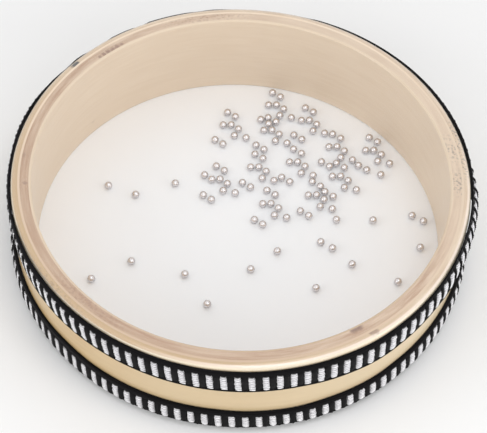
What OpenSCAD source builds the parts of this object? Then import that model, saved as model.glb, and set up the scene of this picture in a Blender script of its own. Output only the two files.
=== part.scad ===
// Ocean drum: steel shot rolls between two film heads on a laminated wooden hoop.
// Origin: centre of the underside. +Z is up. Sizes are in millimetres.

/* [Hoop] */
// Outer diameter of the bare hoop
hoop_d = 200; // [180:5:560]
// Height of the bare hoop
hoop_h = 45; // [40:1:120]
// Thickness of the veneer that faces the inside
inner_veneer_t = 1.1; // [0.6:0.1:2]
// Thickness of the core ply behind it
inner_core_t = 3.8; // [2:0.1:6]
// Thickness of the pale veneer between the two core plies
middle_veneer_t = 1; // [0.6:0.1:2]
// Thickness of the outer core ply
outer_core_t = 2.3; // [1.5:0.1:4]
// Thickness of the veneer that faces the outside
outer_veneer_t = 0.8; // [0.5:0.1:2]
// Radius that both outer edges are rounded to
edge_r = 2.5; // [2:0.1:4]
// Width of the bevel on both inner edges
bore_bevel = 0.6; // [0.2:0.1:1]

/* [Heads] */
// Thickness of the clear film head on top
top_film_t = 0.3; // [0.1:0.05:0.6]
// Thickness of the white film head below
bottom_film_t = 0.3; // [0.1:0.05:0.6]
// How far the skirt of each head runs along the wall
skirt_h = 9; // [5:0.5:12]

/* [Trim] */
// Width of the woven tape, along its curve
tape_w = 14; // [10:0.5:18]
// Thickness of the tape's ground weave
tape_t = 0.7; // [0.4:0.1:1.2]
// How far below the top of the drum the upper tape starts
upper_drop = 1.7; // [1:0.1:5]
// Angle in degrees that the lower tape bends round the hoop's bottom edge
lower_curl = 50; // [5:1:50]
// Distance from one white bar to the next
bar_pitch = 5.65; // [4:0.05:10]
// How far the black bars stand off the tape at the middle of their length
bar_crown = 2.1; // [1:0.1:3]
// How far the bars stand off the tape at their ends
bar_end_t = 0.6; // [0.2:0.1:0.7]
// Plain edge of the tape above the bars
top_selvedge = 2.4; // [2:0.1:3]
// Plain edge of the tape below the bars
bottom_selvedge = 1.6; // [0.3:0.1:2]
// Thickness of the round cord that the tape's upper edge ends in
cord_d = 1.3; // [1.2:0.1:1.8]

/* [Shot] */
// Diameter of the steel shot
ball_d = 3.5; // [2:0.1:4.2]
// Clearance between the shot and what it rests on or rolls against
seat_gap = 0.1; // [0.05:0.01:0.3]

/* [Hidden] */
$fn = 96;
// How far a cut runs past the surface that it goes through
overrun = 1;

// Radii of the hoop, from the bore outwards
hoop_r = hoop_d / 2;
wall_t = inner_veneer_t + inner_core_t + middle_veneer_t + outer_core_t + outer_veneer_t;
bore_r = hoop_r - wall_t;
inner_core_r = bore_r + inner_veneer_t;
middle_veneer_r = inner_core_r + inner_core_t;
outer_core_r = middle_veneer_r + middle_veneer_t;
outer_veneer_r = outer_core_r + outer_core_t;

// Heights of the hoop's two edges and of the whole drum
base_z = bottom_film_t;
rim_z = base_z + hoop_h;
total_h = rim_z + top_film_t;

// The upper tape lies straight on the skirt of the clear head
upper_tape_r = hoop_r + top_film_t + tape_t;
upper_tape_top = total_h - upper_drop;
upper_tape_z = upper_tape_top - tape_w;

// The lower tape follows the bend of the white head round the bottom edge
lower_tape_r = hoop_r + bottom_film_t + tape_t;
bend = [hoop_r - edge_r, base_z + edge_r];
bend_r = edge_r + bottom_film_t;
bend_mid_r = bend_r + tape_t / 2;
curl_w = bend_mid_r * lower_curl * PI / 180;
lower_tape_top = bend.y + tape_w - curl_w;

// The bars: white and black ones by turns, with a crease between neighbours
bar_l = tape_w - top_selvedge - bottom_selvedge;
bar_count = 4 * round(PI * upper_tape_r / bar_pitch / 2);
pitch_angle = 360 / bar_count;
white_share = 0.52;
crease_share = 0.02;
black_share = 1 - white_share - 2 * crease_share;
white_crown_share = 0.8;
upper_turn_share = 0.46;
lower_turn_share = 0.16;

// The shot lies on the white head and stays inside the bore
ball_z = base_z + seat_gap + ball_d / 2;
free_r = bore_r - seat_gap - ball_d / 2;

// The pile lies against the far wall. Its places are shares of the ball's diameter:
// twelve clusters of nine balls and one stray ball on either side.
pile_azimuth = 60;
pile_inset_share = 11.9;
pile_centre = (free_r - pile_inset_share * ball_d) * [cos(pile_azimuth), sin(pile_azimuth)];
cluster_shares = [
    [-3, 12.7], [1.6, 10.2], [-9.1, 8.7], [-3.5, 8.1],
    [5.4, 5.7], [10.4, 5.4], [0.1, 2.7], [-5.1, 1.5],
    [5.9, 0.6], [-10.2, -0.9], [2.7, -2.8], [-3.3, -4.6],
];
ball_shares = [
    [0, 0], [1.1, -0.7], [-0.5, -2.3], [0.6, -2.2], [1.6, -2.9],
    [1.1, -4.1], [2.7, -4.4], [-1.5, -5], [-0.4, -5.7],
];
stray_left_share = [-11.7, -2.5];
stray_right_share = [11.9, -1];

// The loose balls lie between the pile and the wall. Each pair is a share of a turn, from the
// pile's own direction, and a share of the way from the pile's edge to the wall.
pile_side_share = 13.5;
pile_front_share = 9.6;
left_shares = [[0.366, 0.6], [0.381, 0.4], [0.375, 0.13], [0.445, 0.54], [0.441, 0.78]];
centre_shares = [[0.565, 0.18], [0.539, 0.3], [0.517, 0.54], [0.485, 0.46]];
front_shares = [
    [0.677, 0.06], [0.725, 0.3], [0.631, 0.16], [0.644, 0.23],
    [0.657, 0.4], [0.686, 0.75], [0.61, 0.43],
];
right_shares = [[0.762, 0.59], [0.761, 0.82], [0.73, 0.78]];

// Centre of the circle through three points
function circle_centre(a, b, c) =
    let (ab = b - a)
    let (ac = c - a)
    let (area = 2 * cross(ab, ac))
    a + [ac.y * (ab * ab) - ab.y * (ac * ac), ab.x * (ac * ac) - ac.x * (ab * ab)] / area;

// Point on the lower tape's bend, this far out from the film and this far along the curl
function on_bend(out, angle) = bend + (bend_r + out) * [cos(angle), -sin(angle)];

// Draws its children at the hoop's top edge, and mirrored at its bottom edge
module both_edges() {
    translate([0, rim_z]) children();
    translate([0, base_z]) mirror([0, 1]) children();
}

// What rounding takes off the outer corner, with the corner at the origin
module corner_waste() {
    translate([-edge_r, -edge_r])
        difference() {
            square(edge_r + overrun);
            circle(edge_r);
        }
}

// What the bevel takes off the inner corner, with the corner at the origin
module bevel_waste() {
    low = -bore_bevel - overrun;
    polygon([[-overrun, low], [-low, overrun], [-overrun, overrun]]);
}

// Section of the whole hoop
module hoop_section() {
    difference() {
        translate([bore_r, base_z]) square([wall_t, hoop_h]);
        both_edges() translate([hoop_r, 0]) corner_waste();
        both_edges() translate([bore_r, 0]) bevel_waste();
    }
}

// One ply of the hoop, from this radius outwards
module ply(r, t) {
    rotate_extrude()
        intersection() {
            hoop_section();
            translate([r, 0]) square([t, total_h]);
        }
}

// Section of a head, with the hoop's edge at height zero: disc, bend and skirt
module head_section(film_t) {
    square([hoop_r - edge_r, film_t]);
    translate([hoop_r - edge_r, -edge_r])
        intersection() {
            difference() {
                circle(edge_r + film_t);
                circle(edge_r);
            }
            square(edge_r + film_t);
        }
    translate([hoop_r, -edge_r - skirt_h]) square([film_t, skirt_h]);
}

module inner_veneer() color("#e9d3b4") ply(bore_r, inner_veneer_t);

module inner_core_ply() color("#cfae8c") ply(inner_core_r, inner_core_t);

module middle_veneer() color("#f3dfc2") ply(middle_veneer_r, middle_veneer_t);

module outer_core_ply() color("#d3b592") ply(outer_core_r, outer_core_t);

module outer_veneer() color("#dec8a8") ply(outer_veneer_r, outer_veneer_t);

module top_head() {
    color("#eef4f6", 0.25)
        rotate_extrude() translate([0, rim_z]) head_section(top_film_t);
}

module bottom_head() {
    color("#fafafa")
        rotate_extrude() translate([0, base_z]) mirror([0, 1]) head_section(bottom_film_t);
}

// A slice of the bend, from the horizontal down to this angle
module bend_wedge(angle) {
    reach = 2 * (bend_r + tape_t);
    polygon([[0, 0], [reach, 0], reach * [cos(angle), -sin(angle)]]);
}

// The cord in a tape's upper edge, with the top of the tape's inner face at the origin
module cord_section() {
    translate([cord_d / 2, -cord_d / 2]) circle(d = cord_d);
}

module upper_tape() {
    color("#1b1a1c")
        rotate_extrude() {
            translate([upper_tape_r - tape_t, upper_tape_z]) square([tape_t, tape_w]);
            translate([upper_tape_r - tape_t, upper_tape_top]) cord_section();
        }
}

module lower_tape() {
    color("#1b1a1c")
        rotate_extrude() {
            translate([lower_tape_r - tape_t, bend.y]) square([tape_t, tape_w - curl_w]);
            translate([lower_tape_r - tape_t, lower_tape_top]) cord_section();
            translate(bend)
                intersection() {
                    difference() {
                        circle(bend_r + tape_t);
                        circle(bend_r);
                    }
                    bend_wedge(lower_curl);
                }
        }
}

// Disc whose edge runs through a bar's top end, its crown and its bottom end
module crown_disc(top, middle, bottom) {
    centre = circle_centre(top, middle, bottom);
    translate(centre) circle(norm(top - centre));
}

// Section of a bar on the upper tape
module upper_bar_section(crown) {
    top_z = upper_tape_top - top_selvedge;
    intersection() {
        translate([upper_tape_r, top_z - bar_l]) square([crown, bar_l]);
        crown_disc(
            [upper_tape_r + bar_end_t, top_z],
            [upper_tape_r + crown, top_z - bar_l / 2],
            [upper_tape_r + bar_end_t, top_z - bar_l]
        );
    }
}

// Section of a bar on the lower tape, which follows the tape round the bend
module lower_bar_section(crown) {
    top_z = lower_tape_top - top_selvedge;
    end_angle = lower_curl - bottom_selvedge / bend_mid_r * 180 / PI;
    end = on_bend(tape_t + bar_end_t, end_angle);
    difference() {
        intersection() {
            translate([bend.x, end.y]) square([bend_r + tape_t + crown, top_z - end.y]);
            crown_disc(
                [lower_tape_r + bar_end_t, top_z],
                [lower_tape_r + crown, top_z - bar_l / 2],
                end
            );
        }
        translate(bend) circle(bend_r + tape_t);
        translate(bend) square([bend_r + tape_t, tape_w]);
    }
}

// Bars of this share of the pitch all round, each centred this share of the pitch along
module bars(width_share, turn_share) {
    width_angle = width_share * pitch_angle;
    for (i = [0 : bar_count - 1])
        rotate([0, 0, (i + turn_share) * pitch_angle - width_angle / 2])
            rotate_extrude(angle = width_angle) children();
}

module upper_white_bars() {
    color("#ecebee")
        bars(white_share, upper_turn_share)
            upper_bar_section(bar_crown * white_crown_share);
}

module upper_black_bars() {
    color("#232124")
        bars(black_share, upper_turn_share + 0.5)
            upper_bar_section(bar_crown);
}

module lower_white_bars() {
    color("#ecebee")
        bars(white_share, lower_turn_share)
            lower_bar_section(bar_crown * white_crown_share);
}

module lower_black_bars() {
    color("#232124")
        bars(black_share, lower_turn_share + 0.5)
            lower_bar_section(bar_crown);
}

// Balls at these places on the white head
module balls(places) {
    color("#b9b4b6")
        for (place = places)
            translate([place.x, place.y, ball_z]) sphere(d = ball_d);
}

module cluster(number) {
    corner = pile_centre + ball_d * cluster_shares[number - 1];
    balls([for (share = ball_shares) corner + ball_d * share]);
}

module shot_cluster_01() cluster(1);
module shot_cluster_02() cluster(2);
module shot_cluster_03() cluster(3);
module shot_cluster_04() cluster(4);
module shot_cluster_05() cluster(5);
module shot_cluster_06() cluster(6);
module shot_cluster_07() cluster(7);
module shot_cluster_08() cluster(8);
module shot_cluster_09() cluster(9);
module shot_cluster_10() cluster(10);
module shot_cluster_11() cluster(11);
module shot_cluster_12() cluster(12);

module stray_ball_left() balls([pile_centre + ball_d * stray_left_share]);

module stray_ball_right() balls([pile_centre + ball_d * stray_right_share]);

// Place of a loose ball beyond an edge of the pile
function loose_place(edge_share, share) =
    let (turn = 360 * share.x)
    let (pile_r = norm(pile_centre))
    let (across = pile_r * sin(turn))
    let (wall_way = sqrt(free_r * free_r - across * across) - pile_r * cos(turn))
    let (edge_way = edge_share * ball_d)
    let (way = edge_way + share.y * (wall_way - edge_way))
    pile_centre + way * [cos(pile_azimuth + turn), sin(pile_azimuth + turn)];

module loose_balls(edge_share, shares) {
    balls([for (share = shares) loose_place(edge_share, share)]);
}

module loose_shot_left() loose_balls(pile_side_share, left_shares);

module loose_shot_centre() loose_balls(pile_front_share, centre_shares);

module loose_shot_front() loose_balls(pile_front_share, front_shares);

module loose_shot_right() loose_balls(pile_side_share, right_shares);

inner_veneer();
inner_core_ply();
middle_veneer();
outer_core_ply();
outer_veneer();
top_head();
bottom_head();
upper_tape();
upper_white_bars();
upper_black_bars();
lower_tape();
lower_white_bars();
lower_black_bars();
shot_cluster_01();
shot_cluster_02();
shot_cluster_03();
shot_cluster_04();
shot_cluster_05();
shot_cluster_06();
shot_cluster_07();
shot_cluster_08();
shot_cluster_09();
shot_cluster_10();
shot_cluster_11();
shot_cluster_12();
stray_ball_left();
stray_ball_right();
loose_shot_left();
loose_shot_centre();
loose_shot_front();
loose_shot_right();
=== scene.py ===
import math
import bpy
from mathutils import Matrix, Vector


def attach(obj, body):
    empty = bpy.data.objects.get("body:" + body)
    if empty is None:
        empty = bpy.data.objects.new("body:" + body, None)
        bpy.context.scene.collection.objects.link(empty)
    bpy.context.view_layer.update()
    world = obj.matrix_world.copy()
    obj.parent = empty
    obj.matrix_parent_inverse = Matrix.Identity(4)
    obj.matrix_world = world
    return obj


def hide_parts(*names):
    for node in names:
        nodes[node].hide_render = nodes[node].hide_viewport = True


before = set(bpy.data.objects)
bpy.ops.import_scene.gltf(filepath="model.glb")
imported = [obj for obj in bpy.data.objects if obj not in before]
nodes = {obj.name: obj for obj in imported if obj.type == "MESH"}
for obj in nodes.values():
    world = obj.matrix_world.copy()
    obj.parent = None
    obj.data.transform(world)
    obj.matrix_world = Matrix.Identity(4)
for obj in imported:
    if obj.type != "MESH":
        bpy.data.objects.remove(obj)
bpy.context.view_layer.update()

mm = 0.001
tiny = 0.01 * mm  # less than this apart counts as the same place
rowReach = 0.1 * mm  # a vertex this close to a row's height belongs to the row
weldReach = 0.002 * mm  # vertices this close are joined after a spin
print("frame loaded:", len(nodes), "CAD nodes")


def linear(hexColour):
    # sRGB hex to the linear colour that the nodes take
    levels = [int(hexColour[i:i + 2], 16) / 255 for i in (0, 2, 4)]
    return [c / 12.92 if c <= 0.04045 else ((c + 0.055) / 1.055) ** 2.4 for c in levels] + [1]


def addNode(tree, kind, settings=None, links=None):
    # settings go to the node itself or to the input of that name or number
    node = tree.nodes.new("ShaderNode" + kind)
    for name, value in (settings or {}).items():
        if isinstance(name, str) and hasattr(node, name):
            setattr(node, name, value)
        else:
            node.inputs[name].default_value = value
    for name, source in (links or {}).items():
        tree.links.new(source, node.inputs[name])
    return node


def newMaterial(name):
    # an empty material and its nodes; its output node is added last, with the shader linked
    material = bpy.data.materials.new(name)
    material.use_nodes = True
    material.node_tree.nodes.clear()
    return material, material.node_tree


def paint(obj, material):
    obj.data.materials.clear()
    obj.data.materials.append(material)


def pick(obj, test):
    # selects the vertices that pass the test, in edit mode
    bpy.ops.mesh.select_mode(type="VERT")
    bpy.ops.mesh.select_all(action="DESELECT")
    bpy.ops.object.mode_set(mode="OBJECT")
    for vertex in obj.data.vertices:
        vertex.select = test(vertex)
    bpy.ops.object.mode_set(mode="EDIT")


def startPiece(name):
    # names the new primitive and opens it for editing
    obj = bpy.context.active_object
    obj.name = obj.data.name = name
    bpy.ops.object.transform_apply(location=True, rotation=True, scale=True)
    bpy.ops.object.mode_set(mode="EDIT")
    return obj


def finishPiece(obj, material, replaced, smoothAngle=50):
    bpy.ops.object.mode_set(mode="OBJECT")
    for modifier in list(obj.modifiers):
        bpy.ops.object.modifier_apply(modifier=modifier.name)
    bpy.ops.object.shade_smooth_by_angle(angle=math.radians(smoothAngle))
    paint(obj, material)
    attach(obj, "drum")
    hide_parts(replaced)
    obj.select_set(False)
    print("piece:", obj.name, len(obj.data.polygons), "faces")


def wrapRows(obj, bend, midR, furthest, side):
    # bends an upright strip round the hoop's edge: side 1 goes over the top, -1 under the bottom
    bpy.ops.object.mode_set(mode="OBJECT")
    rows = {}
    for vertex in obj.data.vertices:
        depth = side * (vertex.co.z - bend.z)
        if depth > tiny:
            rows.setdefault(round(depth, 6), set()).add(vertex.index)
    bpy.ops.object.mode_set(mode="EDIT")
    for depth, members in rows.items():
        angle = min(depth / midR, furthest)
        pick(obj, lambda vertex: vertex.index in members)
        bpy.ops.transform.translate(value=(0, 0, -side * angle * midR))
        bpy.ops.transform.rotate(value=side * angle, orient_axis="Y", orient_type="GLOBAL",
                                 center_override=bend)


def spinSection(obj, steps):
    # keeps the outline of the section and turns it once round the drum's axis
    bpy.ops.mesh.select_mode(type="EDGE")
    bpy.ops.mesh.select_all(action="SELECT")
    bpy.ops.mesh.region_to_loop()
    bpy.ops.mesh.select_all(action="INVERT")
    bpy.ops.mesh.delete(type="EDGE_FACE")
    pick(obj, lambda vertex: vertex.co.x < tiny)
    bpy.ops.mesh.select_mode(type="EDGE")
    bpy.ops.mesh.delete(type="EDGE")  # an edge on the axis would only spin on the spot
    bpy.ops.mesh.select_mode(type="VERT")
    bpy.ops.mesh.select_all(action="SELECT")
    bpy.ops.mesh.delete_loose(use_verts=True, use_edges=False, use_faces=False)
    bpy.ops.mesh.select_all(action="SELECT")
    bpy.ops.mesh.spin(steps=steps, angle=2 * math.pi, center=(0, 0, 0), axis=(0, 0, 1))
    bpy.ops.mesh.select_all(action="SELECT")
    bpy.ops.mesh.remove_doubles(threshold=weldReach)
    bpy.ops.mesh.normals_make_consistent(inside=False)


camera = {
    "distance": 0.75045,  # in metres
    "elevation": 53.3702,  # this and the other angles are in degrees
    "roll": 2.9445,
    "yaw": 0.1418,
    "pitch": 0.6374,
    "focalPixels": 1644.93,
    "imageWidth": 487,
    "targetHeight": 0.3 * mm,
}


def placeCamera(spec):
    data = bpy.data.cameras.new("camera")
    obj = bpy.data.objects.new("camera", data)
    bpy.context.scene.collection.objects.link(obj)
    up = math.radians(spec["elevation"])
    place = Vector((0, -math.cos(up), math.sin(up))) * spec["distance"]
    ahead = -place.normalized()
    right = ahead.cross(Vector((0, 0, 1))).normalized()
    top = right.cross(ahead)
    yaw, pitch, roll = (math.radians(spec[k]) for k in ("yaw", "pitch", "roll"))
    ahead = ahead * math.cos(yaw) * math.cos(pitch) + right * math.sin(yaw) + top * math.sin(pitch)
    right = ahead.cross(Vector((0, 0, 1))).normalized()
    top = right.cross(ahead).normalized()
    ahead.normalize()
    turnedRight = right * math.cos(roll) + top * math.sin(roll)
    turnedTop = top * math.cos(roll) - right * math.sin(roll)
    turn = Matrix((turnedRight, turnedTop, -ahead)).transposed()
    place.z += spec["targetHeight"]
    obj.matrix_world = Matrix.Translation(place) @ turn.to_4x4()
    data.sensor_width = 36
    data.lens = spec["focalPixels"] / spec["imageWidth"] * data.sensor_width
    data.clip_start = 0.01
    bpy.context.scene.camera = obj


placeCamera(camera)
print("camera placed")


studio = {
    "worldColour": "ffffff",
    "worldStrength": 0.765,
    "lamps": {
        # name: (place, size, watts)
        "overheadLamp": ((0.24, -0.2, 1.15), 0.5, 2.0),
        "leftLamp": ((-0.95, -0.5, 0.45), 0.8, 2.9),
        "rightLamp": ((1.05, -0.5, 0.3), 0.8, 3.8),
        "frontLamp": ((0.15, -1.1, 0.6), 0.8, 1.5),
    },
    "floorSize": 6,
    "floorDrop": 0.15 * mm,
    "floorColour": "f5f5f5",
}


def buildStudio(spec):
    scene = bpy.context.scene
    scene.view_settings.view_transform = "Standard"
    world = bpy.data.worlds.new("studio")
    scene.world = world
    world.use_nodes = True
    tree = world.node_tree
    tree.nodes.clear()
    # seen directly, mirrored or through film the backdrop is plain white; as a light it is dimmer
    rays = addNode(tree, "LightPath").outputs
    seen = addNode(tree, "Math", {"operation": "ADD", "use_clamp": True},
                   {0: rays["Is Camera Ray"], 1: rays["Is Glossy Ray"]})
    seen = addNode(tree, "Math", {"operation": "ADD", "use_clamp": True},
                   {0: seen.outputs[0], 1: rays["Is Transmission Ray"]})
    strength = addNode(tree, "MapRange", {3: spec["worldStrength"], 4: 1}, {0: seen.outputs[0]})
    light = addNode(tree, "Background", {"Color": linear(spec["worldColour"])},
                    {"Strength": strength.outputs[0]})
    addNode(tree, "OutputWorld", None, {"Surface": light.outputs[0]})
    for name, (place, size, watts) in spec["lamps"].items():
        data = bpy.data.lights.new(name, "AREA")
        data.shape = "DISK"
        data.size = size
        data.energy = watts
        lamp = bpy.data.objects.new(name, data)
        scene.collection.objects.link(lamp)
        lamp.location = place
        lamp.rotation_euler = (-Vector(place)).to_track_quat("-Z", "Y").to_euler()
    bpy.ops.object.select_all(action="DESELECT")
    bpy.ops.mesh.primitive_plane_add(size=spec["floorSize"], location=(0, 0, -spec["floorDrop"]))
    floor = bpy.context.active_object
    floor.name = "studioFloor"
    material, tree = newMaterial("matt paper sweep")  # even, white, no gloss
    paper = addNode(tree, "BsdfPrincipled", {
        "Base Color": linear(spec["floorColour"]), "Roughness": 1, "Specular IOR Level": 0})
    addNode(tree, "OutputMaterial", None, {"Surface": paper.outputs[0]})
    paint(floor, material)


buildStudio(studio)
print("studio lit")


wood = {
    # tones: the colour that the ply turns to on one side, that side's angle, where it begins and
    # ends as shares of the hoop's radius, how much of it there is at most, and between which
    # radii in mm it comes in
    # marks and specks: place in mm, radius in mm, strength, colour
    "faceVeneer": {
        "base": "cdb080", "streak": "bf9f70", "grain": 0.5, "rings": 500, "gloss": 0.4, "coat": 0.4,
        "tones": [
            # painted light: these two tones make the outside wall lighter towards the front right
            # and the right
            ("dbc7a4", 320, 0, 0.42, 0.55, (0, 1)),
            ("e4d3b4", 345, 0.3, 1, 0.5, (0, 1)),
            # painted highlight: a pale line round the rounded top edge of the outside veneer,
            # inside 99.6 mm radius
            ("f5e8cf", 225, -1.2, -1.1, 0.8, (99.9, 99.6))],
        "marks": [], "specks": []},
    "innerVeneer": {
        "base": "e3cfb5", "streak": "d8c0a2", "grain": 0.4, "rings": 700, "gloss": 0.45,
        "coat": 0.1,
        # painted shade: the inside veneer's edge darker towards the front
        "tones": [("c0a382", 285, 0.2, 0.9, 0.85, (0, 1))],
        "marks": [((-71.4, 56.5, 8), 1.1, 0.35, "b09884")],
        "specks": []},
    "paleVeneer": {
        "base": "f0dcc4", "streak": "e2c8aa", "grain": 0.5, "rings": 900, "gloss": 0.4, "coat": 0.3,
        "tones": [("ccae8e", 255, -0.3, 0.8, 0.9, (0, 1)), ("d6c0a6", 0, 0.6, 1, 0.8, (0, 1))],
        "marks": [], "specks": []},
    "innerCore": {
        "base": "dcc4aa", "streak": "b08a6c", "grain": 0.8, "rings": 620, "gloss": 0.45,
        "coat": 0.3,
        "tones": [("ac8564", 215, 0, 0.9, 0.45, (0, 1)), ("e0cbb2", 40, 0.2, 0.8, 0.7, (0, 1))],
        "marks": [
            ((-67.3, 64, 45.3), 1.2, 0.6, "7c523e"), ((-65.5, 65.8, 45.3), 1.5, 0.7, "7c523e"),
            ((-63.7, 67.5, 45.3), 1.7, 0.75, "7c523e"), ((-61.9, 69.2, 45.3), 1.6, 0.75, "7c523e"),
            ((-60, 70.9, 45.3), 1.5, 0.7, "7c523e"), ((-58.2, 72.4, 45.3), 1.2, 0.6, "7c523e"),
            ((-92.8, -11.3, 45.3), 1.3, 0.6, "8e6d5a"), ((-95.4, 4.1, 45.3), 1.6, 0.4, "8e6d5a"),
            ((48.5, -78.6, 45.3), 2.1, 0.9, "84604c"), ((50.5, -77.2, 45.3), 2.3, 0.9, "84604c")],
        "specks": [((95.6, 20, 45.3), 11, 0.6, "716a64"), ((97.3, 0, 45.3), 10, 0.6, "716a64"),
                   ((-60, -72, 45.3), 24, 0.5, "946e58"), ((-20, 92, 45.3), 26, 0.4, "946e58")]},
    "outerCore": {
        "base": "e2cdb2", "streak": "c6a684", "grain": 0.7, "rings": 680, "gloss": 0.35, "coat": 1,
        "tones": [("c3a274", 225, -0.2, 0.8, 0.95, (0, 1)),
                  # painted highlight: a pinkish-white line along the rounded outer edge towards the
                  # front right, from 98 to 98.5 mm radius outwards
                  ("f8e8da", 310, 0.4, 0.75, 0.75, (98, 98.5))],
        "marks": [
            ((-78.2, 58.3, 45.2), 2.5, 1, "2c241e"), ((-77.6, 59.4, 45.2), 1.9, 1, "2c241e"),
            ((55.8, -79.6, 45.3), 1.7, 0.75, "8c6a54"), ((57.6, -78.9, 45.3), 1.7, 0.7, "8c6a54")],
        "specks": [((93.4, 26, 45.3), 12, 0.7, "716a64"), ((96.6, 12, 45.3), 13, 0.6, "716a64"),
                   ((-72, -66, 45.3), 20, 0.4, "8a6a4c")]},
}


birch = {
    # the numbers 1 to 4 are a Map Range node's inputs: while its source goes from input 1 to
    # input 2, its result goes from input 3 to input 4
    "along": (45, 45, 0),  # how fast the grain changes along the bend
    "streaks": {"Scale": 1, "Detail": 6, "Roughness": 0.6},
    "bands": {1: 0.36, 2: 0.66, 3: 0},
    "clouds": {"Scale": 28, "Detail": 3},
    "cloudShade": {1: 0.3, 2: 0.75, 3: 0, 4: 0.22},
    "crumble": {"Scale": 900, "Detail": 4},
    "dots": {1: 0.5, 2: 0.62},
    "ragged": 1.6 * mm,  # how far the edge of a mark strays
    "raggedMiddle": 0.8,  # and the middle of that, in mm
    "core": 0.4,  # share of a mark's or patch's radius that is at full strength
    "toneSpan": 10,  # 1 over the hoop's radius in metres
    "shader": {"IOR": 1.5, "Coat Roughness": 0.12},
    "bump": {"Strength": 0.12, "Distance": 0.05 * mm},
}


def birchPly(name, spec):
    # laminated birch under clear lacquer: long pale streaks along the bend, soft sheen
    material, tree = newMaterial(name)
    coords = addNode(tree, "TexCoord").outputs["Object"]
    split = addNode(tree, "SeparateXYZ", None, {0: coords}).outputs
    flat = addNode(tree, "CombineXYZ", None, {0: split["X"], 1: split["Y"]})
    radius = addNode(tree, "VectorMath", {"operation": "LENGTH"}, {0: flat.outputs[0]})
    # grain runs round the hoop: across it, the pattern changes with height and radius
    across = addNode(tree, "Math", {"operation": "ADD"},
                     {0: radius.outputs["Value"], 1: split["Z"]})
    fine = addNode(tree, "Math", {"operation": "MULTIPLY", 1: float(spec["rings"])},
                   {0: across.outputs[0]})
    along = addNode(tree, "VectorMath", {"operation": "MULTIPLY", 1: birch["along"]}, {0: coords})
    lift = addNode(tree, "CombineXYZ", None, {2: fine.outputs[0]})
    place = addNode(tree, "VectorMath", {"operation": "ADD"},
                    {0: along.outputs[0], 1: lift.outputs[0]})
    streaks = addNode(tree, "TexNoise", birch["streaks"], {"Vector": place.outputs[0]})
    bands = addNode(tree, "MapRange", {**birch["bands"], 4: spec["grain"]},
                    {0: streaks.outputs[0]})
    clouds = addNode(tree, "TexNoise", birch["clouds"], {"Vector": coords})
    patch = addNode(tree, "MapRange", birch["cloudShade"], {0: clouds.outputs[0]})
    mix = addNode(tree, "Math", {"operation": "ADD", "use_clamp": True},
                  {0: bands.outputs[0], 1: patch.outputs[0]})
    colour = addNode(tree, "Mix", {"data_type": "RGBA", 6: linear(spec["base"]),
                                   7: linear(spec["streak"])}, {0: mix.outputs[0]})
    # several tones in the wood table are painted light, shade or highlights, as marked there
    for toneColour, angle, begin, end, most, radii in spec["tones"]:
        turn = math.radians(angle)
        toward = (birch["toneSpan"] * math.cos(turn), birch["toneSpan"] * math.sin(turn), 0)
        side = addNode(tree, "VectorMath", {"operation": "DOT_PRODUCT", 1: toward}, {0: coords})
        reached = addNode(tree, "MapRange", {1: begin, 2: end, 3: 0, 4: most},
                          {0: side.outputs["Value"]})
        ring = addNode(tree, "MapRange", {1: radii[0] * mm, 2: radii[1] * mm},
                       {0: radius.outputs["Value"]})
        reached = addNode(tree, "Math", {"operation": "MULTIPLY"},
                          {0: reached.outputs[0], 1: ring.outputs[0]})
        colour = addNode(tree, "Mix", {"data_type": "RGBA", 7: linear(toneColour)},
                         {0: reached.outputs[0], 6: colour.outputs[2]})
    # small knots and smudges, each at its own place on the hoop
    crumble = addNode(tree, "TexNoise", birch["crumble"], {"Vector": coords})
    for centre, size, strength, markColour in spec["marks"]:
        near = addNode(tree, "VectorMath", {"operation": "DISTANCE", 1: [c * mm for c in centre]},
                       {0: coords})
        ragged = addNode(tree, "Math", {"operation": "MULTIPLY_ADD", 1: birch["ragged"]},
                         {0: crumble.outputs[0], 2: near.outputs["Value"]})
        rim, core = (share * size + birch["raggedMiddle"] for share in (1, birch["core"]))
        spot = addNode(tree, "MapRange", {1: rim * mm, 2: core * mm, 3: 0, 4: strength},
                       {0: ragged.outputs[0]})
        colour = addNode(tree, "Mix", {"data_type": "RGBA", 7: linear(markColour)},
                         {0: spot.outputs[0], 6: colour.outputs[2]})
    # pepper marks of sanding dust, spread over a patch
    for centre, size, strength, speckColour in spec["specks"]:
        near = addNode(tree, "VectorMath", {"operation": "DISTANCE", 1: [c * mm for c in centre]},
                       {0: coords})
        patch = addNode(tree, "MapRange", {
            1: size * mm, 2: birch["core"] * size * mm, 3: 0, 4: strength},
            {0: near.outputs["Value"]})
        dots = addNode(tree, "MapRange", birch["dots"], {0: crumble.outputs[0]})
        spot = addNode(tree, "Math", {"operation": "MULTIPLY"},
                       {0: patch.outputs[0], 1: dots.outputs[0]})
        colour = addNode(tree, "Mix", {"data_type": "RGBA", 7: linear(speckColour)},
                         {0: spot.outputs[0], 6: colour.outputs[2]})
    bump = addNode(tree, "Bump", birch["bump"], {"Height": streaks.outputs[0]})
    lacquer = addNode(tree, "BsdfPrincipled", {
        "Roughness": spec["gloss"], "Coat Weight": spec["coat"], **birch["shader"],
    }, {"Base Color": colour.outputs[2], "Normal": bump.outputs[0]})
    addNode(tree, "OutputMaterial", None, {"Surface": lacquer.outputs[0]})
    return material


paint(nodes["inner_veneer"], birchPly("lacquered birch veneer, inside", wood["innerVeneer"]))
paint(nodes["middle_veneer"], birchPly("pale birch veneer edge", wood["paleVeneer"]))
paint(nodes["outer_veneer"], birchPly("lacquered birch veneer, outside", wood["faceVeneer"]))
paint(nodes["inner_core_ply"], birchPly("sanded birch core edge, inner", wood["innerCore"]))
paint(nodes["outer_core_ply"], birchPly("sanded birch core edge, outer", wood["outerCore"]))
print("hoop painted")


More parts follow.
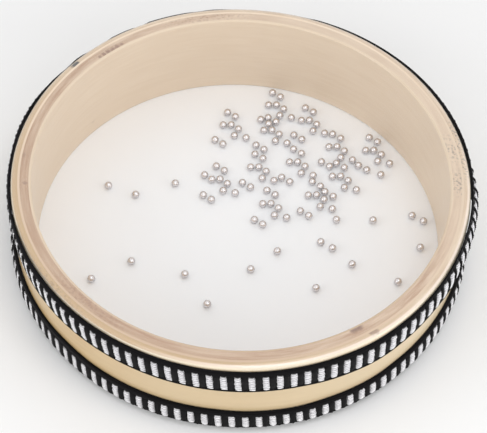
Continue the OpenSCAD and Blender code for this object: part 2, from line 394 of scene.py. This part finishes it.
heads = {
    "hoopR": 100 * mm,
    "edgeR": 2.5 * mm,  # of the hoop's rounded edge
    "top": 45.6 * mm,
    "thickness": 0.3 * mm,
    "lift": 0.06 * mm,  # keeps the film off the wood, so that neither flickers through the other
    "skirt": 9 * mm,
    "rimBand": 0.5 * mm,  # flat width beside the bend that keeps its shading apart
    "bendCuts": 7,
    "spinSteps": 192,
    "clear": {"colour": "ffffff", "shader": {"Roughness": 0.25, "IOR": 1.5, "Alpha": 0.05}},
    "white": {
        "colour": "fafcff", "shader": {"Roughness": 0.35, "IOR": 1.5},
        "skin": {"Scale": 900, "Detail": 2}, "bump": {"Strength": 0.05, "Distance": 0.02 * mm}},
}


def buildClearHead(spec, material):
    # the film starts as an upright strip, and its upper part is folded over the edge
    inner = spec["hoopR"] + spec["lift"]
    sheetT = spec["thickness"] - spec["lift"]
    bendR = spec["edgeR"] + spec["lift"] + sheetT / 2
    bend = Vector((spec["hoopR"] - spec["edgeR"], 0, spec["top"] - sheetT / 2 - bendR))
    bpy.ops.object.select_all(action="DESELECT")
    bpy.ops.mesh.primitive_plane_add(size=1, rotation=(math.pi / 2, 0, 0),
                                     location=(inner + sheetT / 2, 0, bend.z - spec["skirt"] / 2))
    bpy.context.active_object.scale = (sheetT, spec["skirt"], 1)
    obj = startPiece("clearHead")
    cut = bendR * math.pi / 2 / spec["bendCuts"]
    reached = bend.z
    for step in [cut] * spec["bendCuts"] + [spec["rimBand"], bend.x - spec["rimBand"]]:
        pick(obj, lambda vertex: vertex.co.z > reached - tiny)
        bpy.ops.mesh.select_mode(type="EDGE")
        bpy.ops.mesh.extrude_region_move(TRANSFORM_OT_translate={"value": (0, 0, step)})
        reached += step
    wrapRows(obj, bend, bendR, math.pi / 2, 1)
    spinSection(obj, spec["spinSteps"])
    finishPiece(obj, material, "top_head")


clear = heads["clear"]
clearFilm, tree = newMaterial("clear polyester film")  # thin, glass-like, nearly unseen
film = addNode(tree, "BsdfPrincipled", {"Base Color": linear(clear["colour"]), **clear["shader"]})
addNode(tree, "OutputMaterial", None, {"Surface": film.outputs[0]})
buildClearHead(heads, clearFilm)

white = heads["white"]
whiteFilm, tree = newMaterial("white polyester film")  # even white with a soft gloss
coords = addNode(tree, "TexCoord").outputs["Object"]
skin = addNode(tree, "TexNoise", white["skin"], {"Vector": coords})
bump = addNode(tree, "Bump", white["bump"], {"Height": skin.outputs[0]})
film = addNode(tree, "BsdfPrincipled", {"Base Color": linear(white["colour"]), **white["shader"]},
               {"Normal": bump.outputs[0]})
addNode(tree, "OutputMaterial", None, {"Surface": film.outputs[0]})
paint(nodes["bottom_head"], whiteFilm)
print("heads made")


trim = {
    "tapeR": 100.3 * mm,
    "tapeT": 0.7 * mm,
    "tapeW": 14 * mm,
    "upperSelvedge": 1.6 * mm,  # below the bars of the upper tape
    "lowerSelvedge": 3.1 * mm,  # below those of the lower tape, where it starts to bend
    "upperTop": 43.9 * mm,
    "lowerTop": 14.05 * mm,
    "bend": Vector((97.5 * mm, 0, 2.8 * mm)),  # middle of the lower tape's turn under the hoop
    "curl": math.radians(50),  # and how far round it the tape goes
    "count": 112,  # white bars on each tape
    "upperTurn": 0.46,  # place of the first white bar, as a share of the step to the next one
    "lowerTurn": 0.16,
    "floats": 7,  # threads that lie side by side in one bar
    "sink": 0.2 * mm,  # how deep a bar's foot stands in the tape
    "lean": 0.05,  # how far the lower end of a bar lies to one side, as a share of its length
    "columns": 4,  # faces across a bar
    "edgeShare": 0.4,  # a bar's edges lie further from its middle than this share of its width
    "shoulderShare": 0.15,  # and its shoulders further than this
    "raisedFrom": 0.1 * mm,  # what stands out more than this belongs to the crown
    "widthAt": 0.8,  # share of the crown's height at which a bar has its full width
    "shoulder": (0.86, 1.6, 1),  # the columns beside the crown: how high and how far out
    "wander": 0.5 * mm,  # twice the most that a bar's surface strays
    "wanderScale": 1.6 * mm,  # size of the pattern that it follows
    "white": {
        "share": 0.52,  # of the distance from one white bar to the next
        "topSelvedge": {"upper": 1.1 * mm, "lower": 1.8 * mm},
        "crown": 1.75 * mm,
        "rise": {  # each thread's height, top one first
            "upper": [0.9, 1, 0.96, 0.88, 0.79, 0.7, 0.57],
            "lower": [0.7, 0.9, 1, 1, 1, 0.95, 0.8]},
        "reach": [0.92, 1.08, 1.02, 1.14, 1.04, 1.1, 0.98],  # and its width
        "groove": 0.34 * mm,  # depth between two threads
        "grooveReach": 0.88,  # and the bar's width there, as a share
        "tilt": 0,  # how much lower the side with the larger angle is than the other one
    },
    "black": {
        "share": 0.46,
        "topSelvedge": {"upper": 1.5 * mm, "lower": 1.9 * mm},
        "crown": 1.95 * mm,
        "rise": {
            "upper": [0.9, 1, 0.96, 0.88, 0.77, 0.6, 0.38],
            "lower": [0.7, 0.9, 1, 1, 1, 0.95, 0.8]},
        "reach": [1, 1.03, 1, 1.04, 1, 1.03, 1],
        "groove": 0.3 * mm,
        "grooveReach": 0.98,
        "tilt": 0.3 * mm,
    },
    "tapeRows": 28,
    "spinSteps": 224,
    # the round cord of the upper edge and the thinner one of the lower edge: row of the tape
    # and how far it stands out, in mm
    "cords": {
        0: -0.05, 1: 0.58, 2: 0.72, 3: 0.74, 4: 0.82, 5: 0.8, 6: 0.3,
        24: 0.1, 25: 0.3, 26: 0.5, 27: 0.5, 28: 0.2},
    # how far each hand-glued tape sits off its line, in mm at each angle
    "lowerSettle": {
        0: 0.5, 190: 0.3, 205: 0, 215: 0.2, 225: 0.8, 235: -0.1, 245: -0.5, 265: -0.6,
        275: -1.3, 285: -1.5, 295: -0.8, 305: -0.8, 315: 0.4, 325: 0.6, 335: 0.6, 345: 0.1,
        360: 0.4},
    "upperSettle": {
        0: 0.4, 20: 0.4, 30: 0.2, 40: 0.1, 50: -0.1, 60: -0.25, 70: -0.5, 76: -1.2, 94: -1.2,
        100: -0.75, 104: -1.1, 107: -0.75, 117: -0.75, 120: -1.9, 123: -1.05, 128: -1.05, 131: -2,
        136: -2, 139: -1.1, 141: -1.1, 144: -1.9, 150: -1.1, 160: 0, 170: 0.2, 195: 0.3,
        205: 1.2, 215: 1.4, 225: 1, 235: 0.9, 245: 0.5, 255: 0.1, 265: -0.25, 275: -0.4,
        285: -0.3, 295: -0.45, 305: -0.9, 315: 0, 325: 0.6, 335: 1.1, 345: 1.2, 352: 0.8,
        360: 0.4},
    # how far the bars sit off their place on the tape
    "lowerSlip": {
        0: 0.6, 190: -1.1, 205: -1.5, 225: -1.4, 245: -0.5, 255: 0, 290: 0, 305: 0.6, 360: 0.6},
    "upperSlip": {0: 0.2, 40: 0, 300: 0, 325: 0.2, 360: 0.2},
    # where the upper tape is stretched, as a share, its bars are longer and leaf-shaped, and
    # the black ones are turned
    "upperLeaf": {0: 1, 8: 0.5, 16: 0, 308: 0, 325: 0.75, 338: 1, 360: 1},
    "leafRise": 1 * mm,
    "leafThin": 0.7,  # how much thinner a leaf's ends are, as a share
    "leafTilt": 0.7 * mm,
    "leafTiltFrom": 0.3 * mm,  # only what stands out more than this is turned
    # how full the relief is, as a share: of the upper tape's cord, of its bars, and of the
    # whole lower tape
    "upperStand": {
        0: 0.1, 10: 0.8, 16: 1, 165: 1, 180: 0.3, 198: 0.4, 215: 1, 308: 1, 325: 0.35, 338: 0.1,
        360: 0.1},
    "barStand": {
        0: 1, 9: 0.65, 18: 0.8, 25: 1, 165: 1, 178: 0.45, 196: 0.5, 212: 0.85, 225: 1, 360: 1},
    "lowerStand": {
        0: 1, 180: 1, 200: 0.8, 215: 0.5, 230: 0.55, 245: 0.95, 260: 1.12, 300: 1.12, 315: 1,
        360: 1},
    # how far the upper tape's lower edge stands away from the hoop, in mm at each angle
    "flare": {
        0: 3.2, 3: 1, 8: 0.2, 20: 0, 285: 0, 295: 0.4, 305: 0.5, 315: 0.45, 325: 0.5, 335: 1.2,
        345: 1.5, 350: 2.4, 357: 3.4, 360: 3.2},
    "flareCurve": 1.5,  # power by which this grows from the tape's top down
    "tiltShift": 0.2,  # a tilted bar is lowered by this share of its tilt as a whole
}


def easeTable(table, angle):
    # eases from one entry of the table to the next
    angles = sorted(table)
    after = next(a for a in angles if a >= angle)
    before = max([a for a in angles if a < angle], default=0)
    way = (angle - before) / max(after - before, 1)
    way = way * way * (3 - 2 * way)
    return table[before] + (table[after] - table[before]) * way


def settleTape(obj, spec, side):
    # the upper tape shifts as a whole, the lower one above its bend only
    isBar = "Floats" in obj.name
    relief = "barStand" if side == "upper" and isBar else side + "Stand"
    for vertex in obj.data.vertices:
        place = vertex.co
        angle = math.degrees(math.atan2(place.y, place.x)) % 360
        outward = Vector((place.x, place.y, 0))
        stand = max(outward.length - spec["tapeR"] - spec["tapeT"], 0)
        outward.normalize()
        place += outward * stand * (easeTable(spec[relief], angle) - 1)
        sag = easeTable(spec[side + "Settle"], angle) * mm
        if side == "lower":
            sag *= max((place.z - spec["bend"].z) / (spec["lowerTop"] - spec["bend"].z), 0)
        else:
            down = max((spec["upperTop"] - place.z) / spec["tapeW"], 0)
            place += outward * easeTable(spec["flare"], angle) * down ** spec["flareCurve"] * mm
        if isBar:
            sag += easeTable(spec[side + "Slip"], angle) * mm
        if isBar and side == "upper":
            leaf = easeTable(spec["upperLeaf"], angle)
            fullness = 4 * down * (1 - down)  # 1 halfway down the tape, 0 at its edges
            sag += leaf * spec["leafRise"] * (1 - down)
            lower = stand * spec["leafThin"] * (1 - fullness)
            if "Black" in obj.name and stand > spec["leafTiltFrom"]:
                across = (angle * spec["count"] / 360 - spec["upperTurn"]) % 1 - 0.5
                across = 2 * across / spec["black"]["share"]  # -1 to 1 from side to side
                lower += (across + spec["tiltShift"]) * spec["leafTilt"]
            place -= outward * leaf * lower
        place.z += sag


def unrollMap(obj, top, length):
    # a UV map: along the thread in metres, and down the bar from 0 to 1
    layer = obj.data.uv_layers.active or obj.data.uv_layers.new(name="weave")
    for loop in obj.data.loops:
        place = obj.data.vertices[loop.vertex_index].co
        layer.data[loop.index].uv = (place.y, (top - place.z) / length)


def buildTape(side, material):
    spec = trim
    rows = spec["tapeRows"]
    top = spec[side + "Top"]
    bpy.ops.object.select_all(action="DESELECT")
    bpy.ops.mesh.primitive_grid_add(
        x_subdivisions=1, y_subdivisions=rows, size=1, rotation=(math.pi / 2, 0, 0),
        location=(spec["tapeR"] + spec["tapeT"] / 2, 0, top - spec["tapeW"] / 2))
    bpy.context.active_object.scale = (spec["tapeT"], spec["tapeW"], 1)
    obj = startPiece(side + "TapeGround")
    face = spec["tapeR"] + spec["tapeT"] / 2
    for row, push in spec["cords"].items():
        height = top - row * spec["tapeW"] / rows
        pick(obj, lambda vertex: abs(vertex.co.z - height) < rowReach and vertex.co.x > face)
        bpy.ops.transform.translate(value=(push * mm, 0, 0))
    if side == "lower":
        wrapRows(obj, spec["bend"], face - spec["bend"].x, spec["curl"], -1)
    spinSection(obj, spec["spinSteps"])
    bpy.ops.object.mode_set(mode="OBJECT")
    settleTape(obj, spec, side)
    finishPiece(obj, material, side + "_tape", smoothAngle=60)


def shapeBar(obj, spec, bar, side, base, width, length, middle):
    # gives the flat grid its crown and its threads, one for every two rows
    rows = 2 * spec["floats"]
    edge = spec["edgeShare"] * width
    beside = spec["shoulderShare"]
    for row in range(rows + 1):
        thread = min(rows - row, rows - 1) // 2
        height = middle + (row / rows - 0.5) * length
        rise = spec["sink"] + bar["rise"][side][thread] * bar["crown"]
        wide = bar["reach"][thread]
        if row % 2 == 0:  # where two threads meet
            rise -= bar["groove"]
            wide = bar["grooveReach"]
        if 0 < row < rows:
            pick(obj, lambda vertex: abs(vertex.co.z - height) < rowReach and
                 abs(vertex.co.y) < edge)
            bpy.ops.transform.translate(value=(rise, 0, 0))
        pick(obj, lambda vertex: abs(vertex.co.z - height) < rowReach)
        bpy.ops.transform.resize(value=(1, wide, 1), center_override=(0, 0, 0))
        bpy.ops.transform.translate(value=(0, spec["lean"] * (middle - height), 0))
    # the shoulders move out, so that the bar is full and not pointed
    raised = base + spec["raisedFrom"]
    pick(obj, lambda vertex: vertex.co.x > raised and abs(vertex.co.y) > beside * width)
    bpy.ops.transform.resize(value=spec["shoulder"], center_override=(base, 0, middle))
    if bar["tilt"]:
        for low, high in ((-0.5, -beside), (beside, 0.5)):
            pick(obj, lambda vertex: vertex.co.x > raised and
                 low * width < vertex.co.y + spec["lean"] * (vertex.co.z - middle) < high * width)
            drop = (low + high + spec["tiltShift"]) * bar["tilt"]
            bpy.ops.transform.translate(value=(-drop, 0, 0))


def closeBack(obj):
    # one face across the bar's foot
    bpy.ops.mesh.select_all(action="SELECT")
    bpy.ops.mesh.region_to_loop()
    bpy.ops.mesh.edge_face_add()
    bpy.ops.mesh.select_all(action="SELECT")
    bpy.ops.mesh.normals_make_consistent(inside=False)


def copyRound(obj, count):
    step = bpy.data.objects.new("step", None)
    bpy.context.scene.collection.objects.link(step)
    step.rotation_euler.z = 2 * math.pi / count
    bpy.context.view_layer.update()
    ring = obj.modifiers.new("ring", "ARRAY")
    ring.count = count
    ring.use_relative_offset = False
    ring.use_object_offset = True
    ring.offset_object = step
    bpy.ops.object.modifier_apply(modifier="ring")
    bpy.data.objects.remove(step)


def wanderAll(obj, spec):
    # a little wandering keeps any two bars from being the same
    cloud = bpy.data.textures.new("wander", "CLOUDS")
    cloud.cloud_type = "COLOR"
    cloud.noise_scale = spec["wanderScale"]
    cloud.noise_depth = 1
    wander = obj.modifiers.new("wander", "DISPLACE")
    wander.texture = cloud
    wander.texture_coords = "LOCAL"
    wander.direction = "RGB_TO_XYZ"
    wander.mid_level = 0.5
    wander.strength = spec["wander"]
    bpy.ops.object.modifier_apply(modifier="wander")


def buildBars(name, side, turn, material):
    # one bar of floating threads is shaped, then copied round the drum
    spec = trim
    bar = spec[name]
    base = spec["tapeR"] + spec["tapeT"] - spec["sink"]
    pitch = 2 * math.pi / spec["count"]
    width = bar["share"] * pitch * (base + spec["widthAt"] * bar["crown"])
    length = spec["tapeW"] - bar["topSelvedge"][side] - spec[side + "Selvedge"]
    middle = spec[side + "Top"] - bar["topSelvedge"][side] - length / 2
    bpy.ops.object.select_all(action="DESELECT")
    bpy.ops.mesh.primitive_grid_add(
        x_subdivisions=spec["columns"], y_subdivisions=2 * spec["floats"], size=1,
        location=(base, 0, middle), rotation=(math.pi / 2, 0, math.pi / 2))
    bpy.context.active_object.scale = (width, length, 1)
    obj = startPiece(side + name.capitalize() + "Floats")
    shapeBar(obj, spec, bar, side, base, width, length, middle)
    bpy.ops.object.mode_set(mode="OBJECT")
    unrollMap(obj, middle + length / 2, length)
    bpy.ops.object.mode_set(mode="EDIT")
    closeBack(obj)
    bpy.ops.object.mode_set(mode="OBJECT")
    obj.matrix_world = Matrix.Rotation(turn * pitch, 4, "Z")
    bpy.ops.object.transform_apply(location=True, rotation=True, scale=True)
    copyRound(obj, spec["count"])
    wanderAll(obj, spec)
    settleTape(obj, spec, side)
    finishPiece(obj, material, side + "_" + name + "_bars", smoothAngle=70)


yarn = {
    # the numbers 1 to 4 are a Map Range node's inputs, as in the wood
    # base is the yarn's own colour; groove is painted shade in the crease between two threads
    "white": {
        "base": "f8f7f9", "groove": "98969c", "Roughness": 0.75, "Sheen Weight": 0.12},
    "black": {
        "base": "100f11", "groove": "070608", "Roughness": 0.85, "Sheen Weight": 0.02},
    "shader": {"Sheen Roughness": 0.5, "Specular IOR Level": 0.2},
    "creaseShade": {1: 0.22, 2: 0.5, 3: 0, 4: 0.85},  # from a thread's middle to its edge
    "fuzz": {"Scale": 2000, "Detail": 3},
    "fuzzShade": {1: 0.35, 2: 0.7, 3: 0, 4: 0.4},
    # painted shade at the top end of each bar
    "top": {1: 0.05, 2: 0.08, 3: 1, 4: 0},  # as shares of the bar's length
    "flank": (0.4 * mm, 0.75 * mm),  # heights above the tape between which its shadow fades
    "shadow": "0e0d0f",
    "bump": {"Strength": 0.35, "Distance": 0.1 * mm},
}


def floatYarn(name, spec):
    # spun polyester: soft matt threads, with painted shade as a darker line in the crease where two
    # threads meet
    material, tree = newMaterial(name)
    place = addNode(tree, "TexCoord").outputs
    split = addNode(tree, "SeparateXYZ", None, {0: place["UV"]}).outputs
    count = addNode(tree, "Math", {"operation": "MULTIPLY", 1: float(trim["floats"])},
                    {0: split["Y"]})
    saw = addNode(tree, "Math", {"operation": "FRACT"}, {0: count.outputs[0]})
    away = addNode(tree, "Math", {"operation": "SUBTRACT", 1: 0.5}, {0: saw.outputs[0]})
    away = addNode(tree, "Math", {"operation": "ABSOLUTE"}, {0: away.outputs[0]})
    # painted shade, darkest in the crease where two threads meet
    creaseShade = addNode(tree, "MapRange", yarn["creaseShade"], {0: away.outputs[0]})
    # fibres are finer than the render shows, so they are drawn 0.5 mm wide
    fuzz = addNode(tree, "TexNoise", yarn["fuzz"], {"Vector": place["Object"]})
    shade = addNode(tree, "MapRange", yarn["fuzzShade"], {0: fuzz.outputs[0]})
    dark = addNode(tree, "Math", {"operation": "ADD", "use_clamp": True},
                   {0: creaseShade.outputs[0], 1: shade.outputs[0]})
    colour = addNode(tree, "Mix", {"data_type": "RGBA", 6: linear(spec["base"]),
                                   7: linear(spec["groove"])}, {0: dark.outputs[0]})
    # painted shade: the top of each bar, where it dives into the black ground, and its flanks, low
    # between its neighbours, are darkened to the shadow colour
    top = addNode(tree, "MapRange", yarn["top"], {0: split["Y"]})
    flat = addNode(tree, "VectorMath", {"operation": "MULTIPLY", 1: (1, 1, 0)},
                   {0: place["Object"]})
    radius = addNode(tree, "VectorMath", {"operation": "LENGTH"}, {0: flat.outputs[0]})
    begin, end = (trim["tapeR"] + trim["tapeT"] + rise for rise in yarn["flank"])
    flank = addNode(tree, "MapRange", {1: begin, 2: end, 3: 1, 4: 0},
                    {0: radius.outputs["Value"]})
    paintedShade = addNode(tree, "Math", {"operation": "MAXIMUM"},
                   {0: top.outputs[0], 1: flank.outputs[0]})
    colour = addNode(tree, "Mix", {"data_type": "RGBA", 7: linear(yarn["shadow"])},
                     {0: paintedShade.outputs[0], 6: colour.outputs[2]})
    bump = addNode(tree, "Bump", yarn["bump"], {"Height": fuzz.outputs[0]})
    thread = addNode(tree, "BsdfPrincipled", {
        "Roughness": spec["Roughness"], "Sheen Weight": spec["Sheen Weight"], **yarn["shader"],
    }, {"Base Color": colour.outputs[2], "Normal": bump.outputs[0]})
    addNode(tree, "OutputMaterial", None, {"Surface": thread.outputs[0]})
    return material


ground = {
    "base": "0a090a",
    "raised": "151316",
    "cordPitch": 0.5 * mm,
    "waveShare": 0.3,  # how much the cords count beside the fuzz
    "fuzz": {"Scale": 1500, "Detail": 3},
    "shade": {1: 0.3, 2: 0.9, 3: 0, 4: 1},
    "shader": {
        "Roughness": 0.9, "Sheen Weight": 0.03, "Sheen Roughness": 0.5, "Specular IOR Level": 0.1},
    "bump": {"Strength": 0.4, "Distance": 0.1 * mm},
}


def wovenGround(name, spec):
    # plain-woven polyester tape: dull black, with fine cords along it
    material, tree = newMaterial(name)
    coords = addNode(tree, "TexCoord").outputs["Object"]
    split = addNode(tree, "SeparateXYZ", None, {0: coords}).outputs
    wave = addNode(tree, "Math", {"operation": "MULTIPLY", 1: 2 * math.pi / spec["cordPitch"]},
                   {0: split["Z"]})
    wave = addNode(tree, "Math", {"operation": "SINE"}, {0: wave.outputs[0]})
    fuzz = addNode(tree, "TexNoise", spec["fuzz"], {"Vector": coords})
    relief = addNode(tree, "Math", {"operation": "MULTIPLY_ADD", 1: spec["waveShare"]},
                     {0: wave.outputs[0], 2: fuzz.outputs[0]})
    shade = addNode(tree, "MapRange", spec["shade"], {0: relief.outputs[0]})
    colour = addNode(tree, "Mix", {"data_type": "RGBA", 6: linear(spec["base"]),
                                   7: linear(spec["raised"])}, {0: shade.outputs[0]})
    bump = addNode(tree, "Bump", spec["bump"], {"Height": relief.outputs[0]})
    cloth = addNode(tree, "BsdfPrincipled", spec["shader"],
                    {"Base Color": colour.outputs[2], "Normal": bump.outputs[0]})
    addNode(tree, "OutputMaterial", None, {"Surface": cloth.outputs[0]})
    return material


whiteYarn = floatYarn("white polyester yarn", yarn["white"])
blackYarn = floatYarn("black polyester yarn", yarn["black"])
tapeCloth = wovenGround("black woven tape ground", ground)
buildTape("upper", tapeCloth)
buildTape("lower", tapeCloth)
for side in ("upper", "lower"):
    buildBars("white", side, trim[side + "Turn"], whiteYarn)
    buildBars("black", side, trim[side + "Turn"] + 0.5, blackYarn)
print("trim woven")


shot = {
    "colour": "dcd8d9",
    "edgeTint": "807c7e",
    "scuffs": {"Scale": 1400, "Detail": 3},
    "haze": {1: 0.35, 2: 0.7, 3: 0.2, 4: 0.4},
}

steel, tree = newMaterial("polished steel shot")  # bright mirror with a grey body
coords = addNode(tree, "TexCoord").outputs["Object"]
scuffs = addNode(tree, "TexNoise", shot["scuffs"], {"Vector": coords})
haze = addNode(tree, "MapRange", shot["haze"], {0: scuffs.outputs[0]})
metal = addNode(tree, "BsdfPrincipled", {
    "Base Color": linear(shot["colour"]), "Specular Tint": linear(shot["edgeTint"]),
    "Metallic": 1}, {"Roughness": haze.outputs[0]})
addNode(tree, "OutputMaterial", None, {"Surface": metal.outputs[0]})
for name in nodes:
    if "shot" in name or "ball" in name:
        paint(nodes[name], steel)
print("shot painted")
